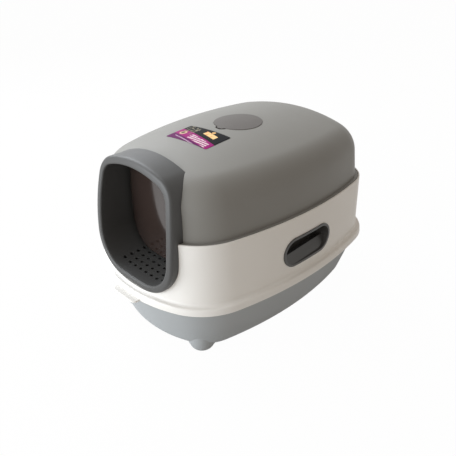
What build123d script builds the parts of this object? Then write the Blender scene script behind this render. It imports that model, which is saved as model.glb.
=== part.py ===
from build123d import *
from math import atan, cos, degrees, radians, sin, sqrt, tan
import os

os.makedirs("parts", exist_ok=True)

# Hooded litter box in millimetres. +Z is up, the entry faces -Y, the origin lies on the
# floor at the middle of the overall footprint.

# ---------------------------------------------------------------- driving dimensions
# Plan of the box: four bowed sides with rounded corners, measured at the ring's top edge.
overall_length = 568.0      # front tab to rear rim
rim_reach = 16.0            # the ring's rim stands out this far past its top edge
tab_reach = 11.0            # the front finger tab stands out this far past the rim
front_half_width = 153.3    # corner to centre line before rounding
rear_half_width = 174.5
front_bow = 47.9
rear_bow = 25.9
side_bow = 33.0
front_corner_radius = 111.0
rear_corner_radius = 91.0

# Heights
rim_z = 122.0               # lower edge of the ring
ring_top_z = 256.0
crown_z = 378.8             # highest point of the hood
running_gap = 0.4           # between pieces that lift off each other

# Pan
pan_wall = 2.8
pan_floor_z = 12.0          # underside of the pan between its feet
pan_top_reach = 8.3         # the pan's wall reaches this far past the ring's top edge
pan_lean = 17.6             # degrees
pan_bottom_radius = 26.0
pan_rim_height = 9.0        # the pan reaches up this far inside the ring's rim
pan_flange = 3.0
foot_height = 43.0
foot_top_radius = 34.0
foot_tip_radius = 24.5
foot_tip_round = 14.0
foot_inset_front = 21.0      # the foot's outer side lies this far inside the ring's top edge
foot_inset_rear = 34.0
foot_turn_front = 52.0      # degrees from the X axis, about the centre of the plan's corner
foot_turn_rear = 52.0
pad_radius = 9.0
pad_height = 5.0
pad_stand = 1.2             # the pad stands out of its foot this far
pad_gap = 0.1

# Ring
ring_wall = 3.0
ring_draft = 4.0            # the wall's foot stands out this far past the ring's top edge
skirt_height = 14.0
skirt_lean = 8.0            # degrees
skirt_wall = 3.4
cove_radius = 6.0
skirt_round = 4.0
ring_edge_radius = 2.2
ledge_depth = 3.4           # the hood's ledge lies this far below the ring's top edge
ledge_width = 14.0
ledge_thickness = 3.0
hem_depth = 8.0             # the ledge's inner hem hangs down this far
hem_thickness = 2.5
tab_half_width = 34.0
tab_root = 3.0              # the tab is rooted this far inside the rim's lower edge
tab_round = 10.0
tab_thickness = 4.0

# Hood
hood_wall = 3.0
hood_inset = 9.3            # the hood's wall stands this far inside the ring's top edge
hood_lean = 6.8             # degrees
hood_edge_radius = 58.0
crown_radius_along = 2050.0
crown_radius_across = 521.0
crown_y = 62.0
hood_flange_inset = 3.8
hood_flange_thickness = 3.0
hood_spigot_depth = 11.0
hood_spigot_wall = 2.6

# Entry collar: rounded opening, slightly narrower at the top, with a leaning front face
collar_half_width_top = 95.8
collar_half_width_low = 100.0
collar_top_drop = 5.9       # the collar's top lies this far below the crown
collar_low_rise = 18.4      # its lowest point lies this far above the ring's lower edge
collar_top_bow = 23.3
collar_low_bow = 0.6
collar_side_bow = 10.7
collar_top_radius = 45.0
collar_low_radius = 75.4
collar_face_width = 14.2
collar_face_setback = 2.7   # front face behind the ring's top edge, at half its height
collar_face_radius = 830.0  # the front face is part of a ball
collar_face_lean = 7.4      # degrees, the top leans back
collar_skin = 2.5
collar_depth = 74.8         # the collar's skirt ends this far behind the ring's top edge
tunnel_tail = 6.5           # the tunnel runs on behind the skirt
collar_outer_round = 5.0
collar_inner_round = 4.0
collar_gap = 0.3            # around the collar in the ring
drain_half_width = 80.0     # opening in the collar's skirt below the tunnel's floor
drain_length = 55.0
drain_height = 12.0
drip_hole_radius = 3.4
drip_pitch_x = 16.1
drip_pitch_y = 15.4
drip_columns = 8
drip_rows = 4
drip_setback = 4.6          # rearmost row of holes ahead of the skirt's end

# Flap and its hinge
flap_gap = 6.5              # between the flap and the tunnel
flap_thickness = 2.6
flap_bow = 2.5              # the middle of the flap stands ahead of its hinge by this
hinge_setback = 7.5         # hinge axis ahead of the tunnel's end
hinge_drop = 31.9           # hinge axis below the collar's top
rod_radius = 2.0
rod_gap = 0.06
barrel_radius = 4.6
barrel_half_length = 54.0
ear_thickness = 6.0
ear_radius = 6.0
ear_gap = 0.6
ear_clearance = 2.0         # around the ears in the flap's upper corners
cap_radius = 4.2
cap_length = 5.0
cap_end = 1.5

# Filter under its round cover
cover_radius = 47.9
cover_y = 25.2
cover_gap = 0.5
cover_proud = 0.8
cover_skin = 2.4
seat_drop = 6.8             # the basket's seat lies this far below the crown
seat_thickness = 3.0
seat_wall = 3.0
basket_radius = 40.4
basket_wall = 1.8
basket_depth = 15.0
basket_flange = 1.5
basket_gap = 0.4
slot_width = 4.0
slot_pitch = 8.0
slot_rib = 4.0
filter_thickness = 10.0
filter_gap = 0.4
scoop_radius = 14.5
scoop_shift = 6.0           # the scoop's centre lies this far inside the cover's edge
scoop_depth = 5.0
scoop_skin = 2.5
plug_wall = 1.8
cover_tab_half_width = 8.5
cover_tab_reach = 4.5
cover_tab_thickness = 2.0

# Side grips
grip_y = 7.5
grip_rise = 63.0            # grip's middle above the ring's lower edge
grip_length = 133.5
grip_height = 60.0
grip_rim = 5.0
grip_proud = 1.8
grip_depth = 30.0
grip_skin = 2.4
grip_gap = 0.3
grip_ramp_rise = 0.40       # the ramp's crest, as a share of the recess's height
grip_ramp_run = 12.0        # the crest lies this far in from the mouth
grip_floor_rise = 0.16      # the floor behind the crest, as a share of the recess's height

# Collar screws
screw_side_gap = 6.1        # screw axis outside the collar's widest place
screw_low_rise = 31.6       # lower screws above the collar's lowest point
screw_high_drop = 24.0      # upper screws below the hood's ledge
screw_boss_radius = 4.5
screw_boss_setback = 35.5   # boss ends ahead of the skirt's end
screw_radius = 1.5
screw_head_radius = 3.4
screw_head_height = 2.2
screw_length = 9.0
screw_gap = 0.05
screw_hole_gap = 0.3
screw_cross_width = 0.9
screw_cross_depth = 1.2
screw_ear_thickness = 2.5
screw_ear_margin = 6.0      # plate around each screw axis

# Sticker
sticker_width = 108.0
sticker_length = 64.0
sticker_x = -5.0
sticker_gap = 22.8          # between the sticker and the filter's cover
sticker_thickness = 0.4
sticker_clearance = 0.3    # between the sticker and the hood's crown
sticker_corner = 3.0

# ---------------------------------------------------------------- derived places
front_y = -(overall_length / 2 - tab_reach - rim_reach)
rear_y = overall_length / 2 - rim_reach
ring_height = ring_top_z - rim_z
ring_lean = degrees(atan(ring_draft / ring_height))
seam_z = rim_z + pan_rim_height
ledge_z = ring_top_z - ledge_depth
collar_top_z = crown_z - collar_top_drop
collar_low_z = rim_z + collar_low_rise
collar_mid_z = (collar_low_z + collar_top_z) / 2
collar_face_y = front_y + collar_face_setback
collar_skirt_end_y = front_y + collar_depth
tunnel_end_y = collar_skirt_end_y + tunnel_tail
flap_y = tunnel_end_y - hinge_setback
hinge_z = collar_top_z - hinge_drop
grip_z = rim_z + grip_rise
reach = overall_length      # larger than the box in any direction


def bowed_quad(low_half, low_y, low_bow, high_half, high_y, high_bow, side):
    """Closed outline of four shallow arcs, symmetric about the vertical axis."""
    low = (low_half, low_y + low_bow)
    high = (high_half, high_y - high_bow)
    chord = sqrt((high[0] - low[0]) ** 2 + (high[1] - low[1]) ** 2)
    out = ((high[1] - low[1]) / chord, (low[0] - high[0]) / chord)
    middle = ((low[0] + high[0]) / 2 + side * out[0], (low[1] + high[1]) / 2 + side * out[1])
    with BuildSketch() as quad:
        with BuildLine():
            ThreePointArc((-low[0], low[1]), (0, low_y), low)
            ThreePointArc(low, middle, high)
            ThreePointArc(high, (0, high_y), (-high[0], high[1]))
            ThreePointArc((-high[0], high[1]), (-middle[0], middle[1]), (-low[0], low[1]))
        make_face()
    return quad.sketch


def rounded(outline, low_radius, high_radius):
    """The outline with its two low and its two high corners rounded."""
    with BuildSketch() as result:
        add(outline)
        fillet(result.vertices().group_by(Axis.Y)[0], low_radius)
        fillet(result.vertices().group_by(Axis.Y)[-1], high_radius)
    return result.sketch


plan = rounded(
    bowed_quad(
        front_half_width, front_y, front_bow, rear_half_width, rear_y, rear_bow, side_bow
    ),
    front_corner_radius,
    rear_corner_radius,
)
collar_outline = rounded(
    bowed_quad(
        collar_half_width_low, collar_low_z, collar_low_bow,
        collar_half_width_top, collar_top_z, collar_top_bow, collar_side_bow,
    ),
    collar_low_radius,
    collar_top_radius,
)


def grown(outline, amount):
    """The outline of convex arcs moved out by amount, each arc about its own centre."""
    with BuildSketch() as result:
        with BuildLine():
            for edge in outline.edges():
                ends = [edge @ 0, edge @ 0.5, edge @ 1]
                ThreePointArc([end + (end - edge.arc_center).normalized() * amount for end in ends])
        make_face()
    return result.sketch


def leaning_block(base_z, base_inset, height, lean):
    """Solid on the plan outline, its sides leaning in by lean degrees towards the top."""
    with BuildPart() as block:
        with BuildSketch(Plane.XY.offset(base_z)):
            add(grown(plan, -base_inset))
        with BuildSketch(Plane.XY.offset(base_z + height)):
            add(grown(plan, -base_inset - height * tan(radians(lean))))
        loft(ruled=True)
    return block.part


def crown_block(lift):
    """Everything below the hood's double-curved crown, raised by lift."""
    radius_along = crown_radius_along + lift
    half = overall_length / 2
    drop = half**2 / (2 * (crown_radius_across + lift))
    depth = crown_z - rim_z + lift
    turn = overall_length / radius_along
    spin = Axis((0, crown_y, crown_z - crown_radius_along), (1, 0, 0))
    rear_plane = Plane(spin.position, x_dir=(1, 0, 0), z_dir=(0, -cos(turn), sin(turn)))
    with BuildPart() as crown:
        with BuildSketch(rear_plane):
            with BuildLine():
                arch = Bezier(
                    (-half, radius_along - drop), (0, radius_along + drop), (half, radius_along - drop)
                )
                Polyline(arch @ 1, (half, radius_along - depth), (-half, radius_along - depth), arch @ 0)
            make_face()
        revolve(axis=spin, revolution_arc=2 * degrees(turn))
    return crown.part


def hood_block(inset, base_z):
    """Solid inside the hood's outer surface, moved in by inset, from base_z up."""
    rise = base_z - ledge_z
    lean = radians(hood_lean)
    base_inset = hood_inset + inset / cos(lean) + rise * tan(lean)
    with BuildPart() as dome:
        add(leaning_block(base_z, base_inset, crown_z - base_z, hood_lean))
        add(crown_block(-inset), mode=Mode.INTERSECT)
        fillet(dome.faces().sort_by(Axis.Z)[-1].edges(), hood_edge_radius - inset)
    return dome.part


def ring_block(inset):
    """Solid inside the ring's outer wall, moved in by inset, from the rim to the top edge."""
    return leaning_block(rim_z, inset - ring_draft, ring_height, ring_lean)


def collar_prism(inset, end_y, setback):
    """Collar outline moved in by inset, from end_y forward to the domed face set back."""
    lean = radians(collar_face_lean)
    ball_y = collar_face_y + collar_face_radius * cos(lean)
    ball_z = collar_mid_z - collar_face_radius * sin(lean)
    with BuildPart() as prism:
        with BuildSketch(Plane.XZ.offset(-end_y)):
            add(grown(collar_outline, -inset))
        extrude(amount=reach)
        with Locations((0, ball_y, ball_z)):
            Sphere(collar_face_radius - setback, mode=Mode.INTERSECT)
    return prism.part


def pan_block(raise_floor, inset):
    """Solid inside the pan's outer wall, its floor raised and its sides moved in."""
    height = pan_height - raise_floor
    floor_inset = inset - pan_top_reach + height * tan(radians(pan_lean))
    return leaning_block(pan_floor_z + raise_floor, floor_inset, height, -pan_lean)


# ---------------------------------------------------------------- pan
pan_height = seam_z - pan_floor_z
pan_flange_reach = (
    rim_reach - skirt_wall - pan_rim_height * tan(radians(skirt_lean)) - running_gap
)


def corner_centre(radius, place):
    """Centre of the plan's right-hand corner arc of this radius, at this place along Y."""
    arcs = plan.edges().filter_by(
        lambda edge: abs(edge.radius - radius) < 0.01 and edge.arc_center.X > 0
    )
    return arcs.sort_by(Axis.Y)[place].arc_center


def foot_spot(centre, radius, turn, depth):
    """Point at depth inside the plan's corner, turned from the X axis by turn degrees."""
    return (
        centre.X + (radius - depth) * cos(radians(turn)),
        centre.Y + (radius - depth) * sin(radians(turn)),
    )


front_corner = (corner_centre(front_corner_radius, 0), front_corner_radius, -foot_turn_front)
rear_corner = (corner_centre(rear_corner_radius, -1), rear_corner_radius, foot_turn_rear)
tip_front = foot_spot(*front_corner, foot_inset_front + foot_tip_radius)
tip_rear = foot_spot(*rear_corner, foot_inset_rear + foot_tip_radius)
root_front = foot_spot(*front_corner, foot_inset_front + foot_top_radius)
root_rear = foot_spot(*rear_corner, foot_inset_rear + foot_top_radius)
feet = {
    "front_left": ((-tip_front[0], tip_front[1]), (-root_front[0], root_front[1])),
    "front_right": (tip_front, root_front),
    "rear_left": ((-tip_rear[0], tip_rear[1]), (-root_rear[0], root_rear[1])),
    "rear_right": (tip_rear, root_rear),
}


def pan_space(depth):
    """Solid that lies depth below the pan's outer surface."""
    with BuildPart() as space:
        add(pan_block(depth, depth / cos(radians(pan_lean))))
        fillet(space.faces().sort_by(Axis.Z)[0].edges(), pan_bottom_radius - depth)
    return space.part


def foot_cone(tip, root):
    """Oblique cone, upright on its outer side, that ends inside the pan's wall."""
    with BuildPart() as cone:
        with BuildSketch(Plane.XY.offset(pad_stand)):
            with Locations(tip):
                Circle(foot_tip_radius)
        with BuildSketch(Plane.XY.offset(pad_stand + foot_height)):
            with Locations(root):
                Circle(foot_top_radius)
        loft(ruled=True)
        fillet(cone.edges().group_by(Axis.Z)[0], foot_tip_round)
        add(pan_space(pan_wall / 2), mode=Mode.SUBTRACT)
    return cone.part


with BuildPart() as pan:
    add(pan_space(0))
    with BuildSketch(Plane.XY.offset(seam_z - pan_flange)):
        add(grown(plan, pan_flange_reach))
    extrude(amount=pan_flange)
    add(pan_space(pan_wall), mode=Mode.SUBTRACT)
    for tip, root in feet.values():
        add(foot_cone(tip, root))
    with Locations([(*tip, pad_stand) for tip, root in feet.values()]):
        Cylinder(
            pad_radius + pad_gap, pad_height - pad_stand,
            align=(Align.CENTER, Align.CENTER, Align.MIN), mode=Mode.SUBTRACT,
        )
pan.part.label = "pan"
export_step(pan.part, "parts/pan.step")

for corner, (tip, root) in feet.items():
    with BuildPart() as foot_pad:
        with Locations(tip):
            Cylinder(pad_radius, pad_height, align=(Align.CENTER, Align.CENTER, Align.MIN))
        fillet(foot_pad.edges().group_by(Axis.Z)[0], pad_stand / 2)
    foot_pad.part.label = "foot_pad_" + corner
    export_step(foot_pad.part, "parts/foot_pad_" + corner + ".step")

# ---------------------------------------------------------------- ring
skirt_tan = tan(radians(skirt_lean))
ledge_inset = ring_wall + ledge_width
under_ledge_z = ledge_z - ledge_thickness
rim_front_y = front_y - rim_reach

with BuildPart() as ring_inside:
    add(leaning_block(rim_z, ring_wall - ring_draft, under_ledge_z - rim_z, ring_lean))
    with BuildSketch(Plane.XY.offset(under_ledge_z - hem_depth)):
        add(grown(plan, hem_thickness - ledge_inset))
    extrude(amount=hem_depth, mode=Mode.SUBTRACT)
    with BuildSketch(Plane.XY.offset(under_ledge_z - hem_depth)):
        add(grown(plan, -ledge_inset))
    extrude(amount=ring_height)
    with BuildSketch(Plane.XY.offset(ledge_z)):
        add(grown(plan, -ring_wall))
    extrude(amount=ring_height)
    add(leaning_block(rim_z, skirt_wall - rim_reach, pan_rim_height, skirt_lean))

with BuildPart() as finger_tab:
    with BuildSketch(Plane.XY.offset(rim_z)):
        with Locations((0, rim_front_y - tab_reach)):
            RectangleRounded(
                2 * tab_half_width, tab_reach + tab_root + tab_round, tab_round,
                align=(Align.CENTER, Align.MIN),
            )
    extrude(amount=tab_thickness)
    add(ring_inside.part, mode=Mode.SUBTRACT)

collar_half_width = collar_outline.bounding_box().max.X
screw_x = collar_half_width + screw_side_gap
screw_low_z = collar_low_z + screw_low_rise
screw_high_z = ledge_z - screw_high_drop
screw_boss_y = collar_skirt_end_y - screw_boss_setback
screw_places = [
    (side * screw_x, height) for side in (-1, 1) for height in (screw_low_z, screw_high_z)
]
screw_plane = Plane.XZ.offset(-screw_boss_y)
with BuildPart() as screw_bosses:
    with BuildSketch(screw_plane):
        with Locations(screw_places):
            Circle(screw_boss_radius)
    extrude(amount=reach)
    add(ring_block(ring_wall / 2), mode=Mode.INTERSECT)

grip_back_x = plan.bounding_box().max.X - grip_depth
grip_mouth_length = grip_length - 2 * grip_rim
grip_mouth_height = grip_height - 2 * grip_rim


def grip_prism(margin, start_x):
    """Stadium prism around the right grip's mouth, grown by margin, out from start_x."""
    with BuildPart() as prism:
        with BuildSketch(Plane((start_x, grip_y, grip_z), x_dir=(0, 1, 0), z_dir=(1, 0, 0))):
            SlotOverall(grip_mouth_length + 2 * margin, grip_mouth_height + 2 * margin)
        extrude(amount=reach)
    return prism.part


with BuildPart() as ring:
    add(leaning_block(rim_z, -rim_reach, skirt_height, skirt_lean))
    fillet(ring.faces().sort_by(Axis.Z)[-1].edges(), skirt_round)
    add(ring_block(0))
    joint_z = rim_z + skirt_height
    cove_edges = ring.edges().filter_by(lambda e: abs(e.center().Z - joint_z) < 0.01)
    fillet(cove_edges.filter_by(lambda e: abs(e.bounding_box().size.Z) < 0.01), cove_radius)
    fillet(ring.faces().sort_by(Axis.Z)[-1].edges(), ring_edge_radius)
    add(ring_inside.part, mode=Mode.SUBTRACT)
    add(finger_tab.part)
    add(screw_bosses.part)
    add(collar_prism(-collar_gap, collar_skirt_end_y, -reach), mode=Mode.SUBTRACT)
    add(grip_prism(grip_skin + grip_gap, 0), mode=Mode.SUBTRACT)
    add(mirror(grip_prism(grip_skin + grip_gap, 0), about=Plane.YZ), mode=Mode.SUBTRACT)
    with BuildSketch(screw_plane):
        with Locations(screw_places):
            Circle(screw_radius + screw_gap)
    extrude(amount=screw_length - screw_ear_thickness + screw_gap, mode=Mode.SUBTRACT)
ring.part.label = "ring"
export_step(ring.part, "parts/ring.step")

# ---------------------------------------------------------------- side grips
mouth_low_z = grip_z - grip_mouth_height / 2 - grip_skin / 2
ramp_top_z = mouth_low_z + grip_ramp_rise * grip_mouth_height
ramp_back_z = mouth_low_z + grip_floor_rise * grip_mouth_height

with BuildPart() as grip_ramp:
    with BuildSketch(Plane.XZ.offset(-grip_y)):
        with BuildLine():
            Polyline(
                (grip_back_x, mouth_low_z),
                (grip_back_x + grip_depth, mouth_low_z),
                (grip_back_x + grip_depth - grip_ramp_run, ramp_top_z),
                (grip_back_x, ramp_back_z),
                close=True,
            )
        make_face()
    extrude(amount=grip_length, both=True)
    add(grip_prism(grip_skin / 2, grip_back_x), mode=Mode.INTERSECT)

with BuildPart() as handle_right:
    add(grip_prism(grip_rim, grip_back_x))
    add(ring_block(0), mode=Mode.SUBTRACT)
    add(grip_prism(grip_skin, grip_back_x))
    add(ring_block(-grip_proud), mode=Mode.INTERSECT)
    add(grip_prism(0, grip_back_x + grip_skin), mode=Mode.SUBTRACT)
    add(grip_ramp.part)
handle_right.part.label = "handle_right"
export_step(handle_right.part, "parts/handle_right.step")

with BuildPart() as handle_left:
    add(mirror(handle_right.part, about=Plane.YZ))
handle_left.part.label = "handle_left"
export_step(handle_left.part, "parts/handle_left.step")

# ---------------------------------------------------------------- entry collar
tunnel_outset = collar_face_width - collar_skin
ear_x = barrel_half_length + ear_gap + ear_thickness / 2
screw_head_y = screw_boss_y + screw_ear_thickness

with BuildPart() as collar_pocket:
    add(collar_prism(collar_skin, collar_skirt_end_y, collar_skin))
    add(collar_prism(tunnel_outset, collar_skirt_end_y, 0), mode=Mode.SUBTRACT)

with BuildPart() as hinge_ears:
    for turned in (-1, 1):
        with BuildSketch(Plane.YZ.offset(turned * ear_x)):
            with Locations((flap_y, hinge_z)):
                Circle(ear_radius)
                Rectangle(
                    2 * ear_radius, collar_top_z - hinge_z, align=(Align.CENTER, Align.MIN)
                )
        extrude(amount=ear_thickness / 2, both=True)
    add(collar_prism(collar_face_width - collar_skin / 2, tunnel_end_y, 0), mode=Mode.INTERSECT)

# plates outside the skirt that the screws pull against the ring's bosses
with BuildPart() as screw_ears:
    with BuildSketch(Plane.XZ.offset(-screw_boss_y - screw_ear_thickness)):
        with Locations((0, screw_low_z), (0, screw_high_z)):
            Rectangle(2 * (screw_x + screw_ear_margin), 2 * screw_ear_margin)
        add(grown(collar_outline, -collar_skin / 2), mode=Mode.SUBTRACT)
        with Locations(screw_places):
            Circle(screw_radius + screw_hole_gap, mode=Mode.SUBTRACT)
    extrude(amount=screw_ear_thickness)

drip_holes = [
    (
        (column - (drip_columns - 1) / 2) * drip_pitch_x,
        collar_skirt_end_y - drip_setback - row * drip_pitch_y,
    )
    for column in range(drip_columns)
    for row in range(drip_rows)
]

with BuildPart() as collar:
    add(collar_prism(0, collar_skirt_end_y, 0))
    add(collar_prism(tunnel_outset, tunnel_end_y, 0))
    add(collar_prism(collar_face_width, tunnel_end_y, 0), mode=Mode.SUBTRACT)
    front_face = collar.faces().filter_by(GeomType.SPHERE).sort_by(Axis.Y)[0]
    fillet(front_face.outer_wire().edges(), collar_outer_round)
    front_face = collar.faces().filter_by(GeomType.SPHERE).sort_by(Axis.Y)[0]
    fillet(front_face.inner_wires()[0].edges(), collar_inner_round)
    add(collar_pocket.part, mode=Mode.SUBTRACT)
    add(hinge_ears.part)
    add(screw_ears.part)
    # the bottom of the skirt is open behind the ring's wall, so that litter drops through
    with Locations((0, collar_skirt_end_y, collar_low_z - collar_skin)):
        Box(
            2 * drain_half_width, drain_length, drain_height,
            align=(Align.CENTER, Align.MAX, Align.MIN), mode=Mode.SUBTRACT,
        )
    with BuildSketch(Plane.XY.offset(collar_low_z)):
        with Locations(drip_holes):
            Circle(drip_hole_radius)
    extrude(amount=collar_mid_z - collar_low_z, mode=Mode.SUBTRACT)
    with BuildSketch(Plane.YZ):
        with Locations((flap_y, hinge_z)):
            Circle(rod_radius + rod_gap)
    extrude(amount=reach, both=True, mode=Mode.SUBTRACT)
collar.part.label = "collar"
export_step(collar.part, "parts/collar.step")

with BuildPart() as collar_screws:
    with BuildSketch(Plane.XZ.offset(-screw_head_y)):
        with Locations(screw_places):
            Circle(screw_head_radius)
    extrude(amount=-screw_head_height)
    with BuildSketch(Plane.XZ.offset(-screw_head_y)):
        with Locations(screw_places):
            Circle(screw_radius)
    extrude(amount=screw_length)
    with BuildSketch(Plane.XZ.offset(-screw_head_y - screw_head_height)):
        with Locations(screw_places):
            Rectangle(screw_head_radius, screw_cross_width)
            Rectangle(screw_cross_width, screw_head_radius)
    extrude(amount=screw_cross_depth, mode=Mode.SUBTRACT)
collar_screws.part.label = "collar_screws"
export_step(collar_screws.part, "parts/collar_screws.step")

# ---------------------------------------------------------------- flap, rod and caps
rod_half_length = ear_x + ear_thickness / 2 + cap_length - cap_end

with BuildPart() as flap_rod:
    with BuildSketch(Plane.YZ):
        with Locations((flap_y, hinge_z)):
            Circle(rod_radius)
    extrude(amount=rod_half_length, both=True)
flap_rod.part.label = "flap_rod"
export_step(flap_rod.part, "parts/flap_rod.step")

for side, turned in (("left", -1), ("right", 1)):
    with BuildPart() as rod_cap:
        with BuildSketch(Plane.YZ.offset(turned * (ear_x + ear_thickness / 2))):
            with Locations((flap_y, hinge_z)):
                Circle(cap_radius)
        extrude(amount=turned * cap_length)
        with BuildSketch(Plane.YZ):
            with Locations((flap_y, hinge_z)):
                Circle(rod_radius + rod_gap)
        extrude(amount=turned * (rod_half_length + rod_gap), mode=Mode.SUBTRACT)
    rod_cap.part.label = "rod_cap_" + side
    export_step(rod_cap.part, "parts/rod_cap_" + side + ".step")

flap_half_width = collar_half_width - collar_face_width - flap_gap
corner_cut_z = hinge_z - ear_radius - ear_clearance

with BuildPart() as flap:
    with BuildSketch(Plane.XY.offset(collar_low_z)):
        with BuildLine():
            bow = ThreePointArc(
                (-flap_half_width, flap_y + flap_bow),
                (0, flap_y - flap_bow),
                (flap_half_width, flap_y + flap_bow),
            )
            offset(bow, amount=flap_thickness / 2, side=Side.BOTH)
        make_face()
    extrude(amount=hinge_z - collar_low_z)
    with BuildSketch(Plane.XZ.offset(-tunnel_end_y)):
        add(grown(collar_outline, -collar_face_width - flap_gap))
    extrude(amount=reach, mode=Mode.INTERSECT)
    for turned in (-1, 1):
        with Locations((turned * barrel_half_length, flap_y, corner_cut_z)):
            Box(
                reach, reach, reach,
                align=(Align.MAX if turned < 0 else Align.MIN, Align.CENTER, Align.MIN),
                mode=Mode.SUBTRACT,
            )
    with BuildSketch(Plane.YZ):
        with Locations((flap_y, hinge_z)):
            Circle(barrel_radius)
    extrude(amount=barrel_half_length, both=True)
    with BuildSketch(Plane.YZ):
        with Locations((flap_y, hinge_z)):
            Circle(rod_radius + rod_gap)
    extrude(amount=reach, both=True, mode=Mode.SUBTRACT)
flap.part.label = "flap"
export_step(flap.part, "parts/flap.step")

# ---------------------------------------------------------------- hood
seat_z = crown_z - seat_drop
recess_radius = cover_radius + cover_gap
spigot_inset = ledge_inset + running_gap
scoop_y = cover_y - cover_radius + scoop_shift
scoop_z = crown_z - scoop_depth

with BuildPart() as filter_recess:
    with Locations((0, scoop_y, scoop_z)):
        Cylinder(scoop_radius, reach, align=(Align.CENTER, Align.CENTER, Align.MIN))
    with Locations((0, cover_y, seat_z)):
        Cylinder(recess_radius, reach, align=(Align.CENTER, Align.CENTER, Align.MIN))
        Cylinder(
            basket_radius + basket_gap, seat_thickness,
            align=(Align.CENTER, Align.CENTER, Align.MAX),
        )

# the cabin stops below the filter's seat and the scoop
with BuildPart() as cabin:
    add(hood_block(hood_wall, ledge_z + hood_flange_thickness))
    with BuildSketch(Plane.XY.offset(seat_z - seat_thickness)):
        with Locations((0, cover_y)):
            Circle(recess_radius + seat_wall)
        with Locations((0, scoop_y)):
            Circle(scoop_radius + scoop_skin)
    extrude(amount=reach, mode=Mode.SUBTRACT)

with BuildPart() as hood:
    add(hood_block(0, ledge_z))
    add(filter_recess.part, mode=Mode.SUBTRACT)
    with BuildSketch(Plane.XY.offset(ledge_z)):
        add(grown(plan, -hood_flange_inset))
    extrude(amount=hood_flange_thickness)
    with BuildSketch(Plane.XY.offset(ledge_z - hood_spigot_depth)):
        add(grown(plan, -spigot_inset))
    extrude(amount=hood_spigot_depth)
    add(cabin.part, mode=Mode.SUBTRACT)
    with BuildSketch(Plane.XY.offset(ledge_z - hood_spigot_depth)):
        add(grown(plan, -spigot_inset - hood_spigot_wall))
    extrude(amount=hood_spigot_depth + hood_flange_thickness, mode=Mode.SUBTRACT)
    add(collar_prism(-running_gap, collar_skirt_end_y + running_gap, -reach), mode=Mode.SUBTRACT)
    with Locations((0, collar_skirt_end_y + running_gap, collar_mid_z)):
        Box(
            2 * (collar_half_width + running_gap), reach, reach,
            align=(Align.CENTER, Align.MAX, Align.MAX), mode=Mode.SUBTRACT,
        )
hood.part.label = "hood"
export_step(hood.part, "parts/hood.step")

# ---------------------------------------------------------------- filter under its cover
basket_low_z = seat_z - basket_depth
basket_inner_radius = basket_radius - basket_wall
slot_reach = basket_inner_radius - basket_wall
slot_count = int(2 * slot_reach / slot_pitch)
flange_z = seat_z + basket_flange
filter_z = basket_low_z + basket_wall

with BuildPart() as filter_basket:
    with Locations((0, cover_y, basket_low_z)):
        Cylinder(
            basket_radius, basket_depth, align=(Align.CENTER, Align.CENTER, Align.MIN)
        )
    with Locations((0, cover_y, seat_z)):
        Cylinder(
            recess_radius - basket_gap, basket_flange,
            align=(Align.CENTER, Align.CENTER, Align.MIN),
        )
    with Locations((0, cover_y, filter_z)):
        Cylinder(
            basket_inner_radius, reach,
            align=(Align.CENTER, Align.CENTER, Align.MIN), mode=Mode.SUBTRACT,
        )
    with BuildSketch(Plane.XY.offset(basket_low_z)):
        with Locations((0, cover_y)):
            with GridLocations(slot_pitch, slot_pitch, slot_count, 1):
                Rectangle(slot_width, 2 * slot_reach)
            Rectangle(2 * slot_reach, slot_rib, mode=Mode.SUBTRACT)
            Circle(slot_reach, mode=Mode.INTERSECT)
    extrude(amount=basket_wall, mode=Mode.SUBTRACT)
filter_basket.part.label = "filter_basket"
export_step(filter_basket.part, "parts/filter_basket.step")

with BuildPart() as carbon_filter:
    with Locations((0, cover_y, filter_z)):
        Cylinder(
            basket_inner_radius - filter_gap, filter_thickness,
            align=(Align.CENTER, Align.CENTER, Align.MIN),
        )
carbon_filter.part.label = "carbon_filter"
export_step(carbon_filter.part, "parts/carbon_filter.step")

plug_radius = basket_inner_radius - filter_gap
plug_low_z = filter_z + filter_thickness + filter_gap

with BuildPart() as cover_cavity:
    with Locations((0, cover_y, flange_z)):
        Cylinder(
            cover_radius - cover_skin, reach, align=(Align.CENTER, Align.CENTER, Align.MIN)
        )
    add(crown_block(cover_proud - cover_skin), mode=Mode.INTERSECT)

with BuildPart() as cover_plug:
    with Locations((0, cover_y, plug_low_z)):
        Cylinder(plug_radius, reach, align=(Align.CENTER, Align.CENTER, Align.MIN))
        Cylinder(
            plug_radius - plug_wall, reach,
            align=(Align.CENTER, Align.CENTER, Align.MIN), mode=Mode.SUBTRACT,
        )
    add(crown_block(cover_proud - cover_skin / 2), mode=Mode.INTERSECT)

with BuildPart() as cover_tab:
    with Locations((0, cover_y - cover_radius - cover_tab_reach, seat_z)):
        Box(
            2 * cover_tab_half_width, cover_radius / 2, reach,
            align=(Align.CENTER, Align.MIN, Align.MIN),
        )
    fillet(
        cover_tab.edges().filter_by(Axis.Z).group_by(Axis.Y)[0], cover_tab_half_width / 2
    )
    add(crown_block(cover_proud), mode=Mode.INTERSECT)
    add(crown_block(cover_proud - cover_tab_thickness), mode=Mode.SUBTRACT)

with BuildPart() as filter_cover:
    with Locations((0, cover_y, flange_z)):
        Cylinder(cover_radius, reach, align=(Align.CENTER, Align.CENTER, Align.MIN))
    add(crown_block(cover_proud), mode=Mode.INTERSECT)
    add(cover_cavity.part, mode=Mode.SUBTRACT)
    add(cover_plug.part)
    add(cover_tab.part)
filter_cover.part.label = "filter_cover"
export_step(filter_cover.part, "parts/filter_cover.step")

# ---------------------------------------------------------------- sticker
sticker_y = cover_y - cover_radius - sticker_gap - sticker_length / 2

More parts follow.
